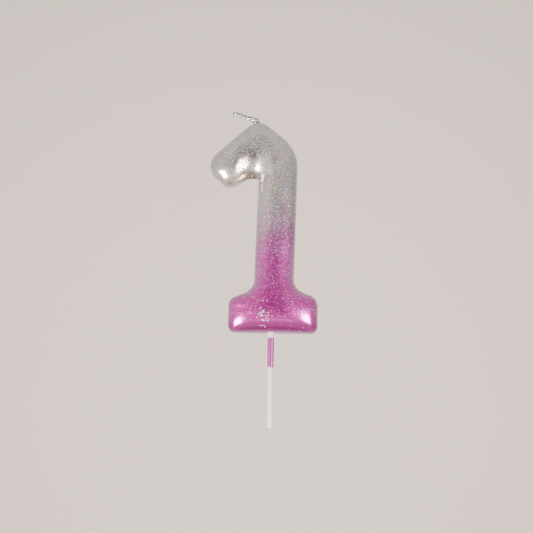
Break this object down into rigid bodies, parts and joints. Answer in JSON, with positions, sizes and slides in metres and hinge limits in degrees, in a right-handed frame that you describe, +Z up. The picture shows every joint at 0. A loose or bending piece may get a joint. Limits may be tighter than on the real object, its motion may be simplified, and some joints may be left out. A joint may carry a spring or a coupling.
{
  "type": "number birthday candle",
  "caption": "Puffy figure-one birthday candle: lacquered wax fading from silver to magenta under fine glitter, bent silver wick, clear plastic pick for a cake.",
  "frame": {"origin": "on the pick's axis, at the numeral's flat underside, which is level with the top of the cake when the pick is pushed in", "axes": "+Z up along the pick and the stem, -Y out of the front face, +X to the viewer's right, away from the flag"},
  "size_m": [0.0436, 0.0166, 0.1269],
  "materials": {
    "lacquered_wax": "moulded wax under a metallic lacquer that fades from silver at the top to magenta at the foot, with fine holographic glitter in a clear coat",
    "waxed_cord": "twisted cotton cord, stiff with wax and sprayed silver",
    "clear_plastic": "milky translucent plastic, with magenta overspray and glitter on its uppermost 14 mm"
  },
  "bodies": {
    "root": {"wax_numeral": "lacquered_wax", "wick": "waxed_cord", "pick": "clear_plastic"}
  },
  "joints": []
}
